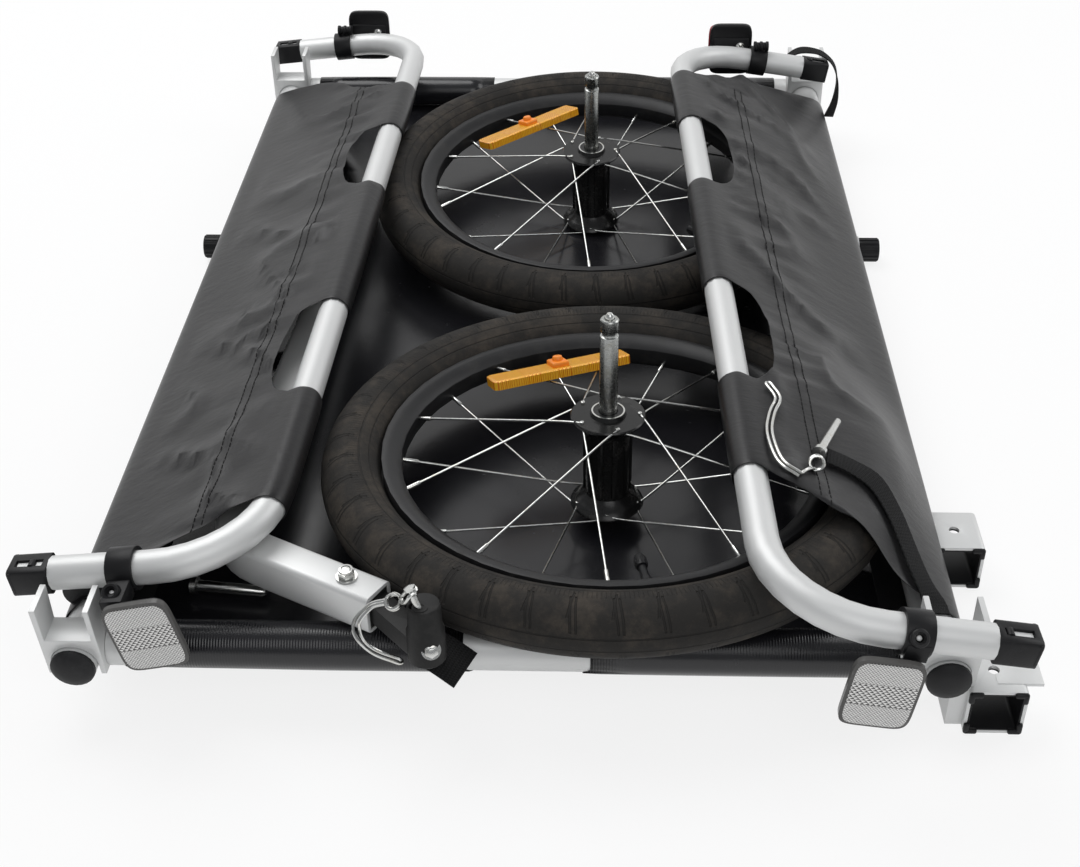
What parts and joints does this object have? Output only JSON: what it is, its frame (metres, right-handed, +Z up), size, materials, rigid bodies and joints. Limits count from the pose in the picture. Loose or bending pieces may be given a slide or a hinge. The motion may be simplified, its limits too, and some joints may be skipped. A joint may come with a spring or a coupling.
{
  "type": "flatbed bike trailer",
  "caption": "Flatbed bike trailer folded flat, its side hoops laid over the bed and both wheels stowed on the floor cloth.",
  "frame": {"origin": "on the ground below the middle of the whole trailer, to within 5 mm; the middle of the two side rails lies 6 mm to its left", "axes": "+Z up, +Y towards the rear of the trailer, +X towards its right as the picture shows it"},
  "size_m": [0.6513, 0.9648, 0.1939],
  "materials": {
    "anodised_aluminium": "satin silver, anodised",
    "plated_steel": "bright plated",
    "black_plastic": "moulded black",
    "tyre_rubber": "dusty, treaded",
    "soft_rubber": "smooth",
    "floor_cloth": "coated, glossy",
    "panel_cloth": "coated, satin",
    "webbing": "woven",
    "clear_lens": "prismatic",
    "red_lens": "prismatic",
    "amber_lens": "prismatic",
    "black_metal": "black anodised, with plated spokes"
  },
  "bodies": {
    "bed_frame": {"rail_left": "anodised_aluminium", "side_panel_left": "panel_cloth", "axle_end_left": "black_plastic", "corner_bracket_front_left": "anodised_aluminium", "rail_cap_front_left": "black_plastic", "corner_bracket_rear_left": "anodised_aluminium", "rail_cap_rear_left": "black_plastic", "rail_right": "anodised_aluminium", "side_panel_right": "panel_cloth", "axle_end_right": "black_plastic", "corner_bracket_front_right": "anodised_aluminium", "rail_cap_front_right": "black_plastic", "corner_bracket_rear_right": "anodised_aluminium", "rail_cap_rear_right": "black_plastic", "cross_tube_front": "anodised_aluminium", "cross_tube_rear": "anodised_aluminium", "axle_tube": "anodised_aluminium", "receiver_front": "anodised_aluminium", "receiver_rear": "anodised_aluminium", "receiver_front_lining": "black_plastic", "receiver_rear_lining": "black_plastic", "floor_sheet": "floor_cloth", "axle_near": "plated_steel", "axle_far": "plated_steel", "tow_bar_pin": "plated_steel", "tow_bar_clasp": "plated_steel", "loose_pin": "plated_steel", "tow_bar_strap": "webbing", "rear_strap": "webbing"},
    "side_frame_left": {"hoop_left": "anodised_aluminium", "end_fitting_front_left": "black_plastic", "end_fitting_rear_left": "black_plastic", "collar_front_left": "black_plastic", "collar_rear_left": "black_plastic", "reflector_front_left": "clear_lens", "reflector_rear_left": "red_lens"},
    "side_frame_right": {"hoop_right": "anodised_aluminium", "end_fitting_front_right": "black_plastic", "end_fitting_rear_right": "black_plastic", "collar_front_right": "black_plastic", "collar_rear_right": "black_plastic", "reflector_front_right": "clear_lens", "reflector_rear_right": "red_lens"},
    "wheel_near": {"tyre_near": "tyre_rubber", "rim_near": "black_metal", "hub_near": "black_metal", "spoke_reflector_near": "amber_lens"},
    "axle_button_near": {"button_near": "plated_steel"},
    "wheel_far": {"tyre_far": "tyre_rubber", "rim_far": "black_metal", "hub_far": "black_metal", "spoke_reflector_far": "amber_lens"},
    "axle_button_far": {"button_far": "plated_steel"},
    "tow_bar_body": {"tow_bar": "anodised_aluminium", "tow_bar_bolt": "plated_steel", "flex_connector": "soft_rubber", "hitch_pin": "plated_steel", "hitch_clasp": "plated_steel", "hitch_strap": "webbing"}
  },
  "joints": [
    {"name": "left_side_fold", "type": "hinge", "parent": "bed_frame", "child": "side_frame_left", "pos_m": [-0.28638, 0, 0.09616], "axis": [0, -1, 0], "range_deg": [0, 83], "deforming": ["side_panel_left"]},
    {"name": "right_side_fold", "type": "hinge", "parent": "bed_frame", "child": "side_frame_right", "pos_m": [0.26877, 0, 0.10027], "axis": [0, 1, 0], "range_deg": [0, 80], "deforming": ["side_panel_right", "rear_strap"]},
    {"name": "near_wheel_spin", "type": "hinge", "parent": "bed_frame", "child": "wheel_near", "pos_m": [0.0564, -0.257, 0.078], "axis": [0, 0.0506, 0.9987], "continuous": true},
    {"name": "near_axle_button", "type": "slide", "parent": "bed_frame", "child": "axle_button_near", "axis": [0, -0.0506, -0.9987], "range_m": [0, 0.003], "stiffness_N_per_m": 400},
    {"name": "far_wheel_spin", "type": "hinge", "parent": "bed_frame", "child": "wheel_far", "pos_m": [0.0423, 0.1775, 0.0682], "axis": [0, -0.0732, 0.9973], "continuous": true},
    {"name": "far_axle_button", "type": "slide", "parent": "bed_frame", "child": "axle_button_far", "axis": [0, 0.0732, -0.9973], "range_m": [0, 0.003], "stiffness_N_per_m": 400},
    {"name": "tow_bar_draw", "type": "slide", "parent": "bed_frame", "child": "tow_bar_body", "axis": [0, -0.9982, 0.0592], "range_m": [0, 0.04]}
  ]
}
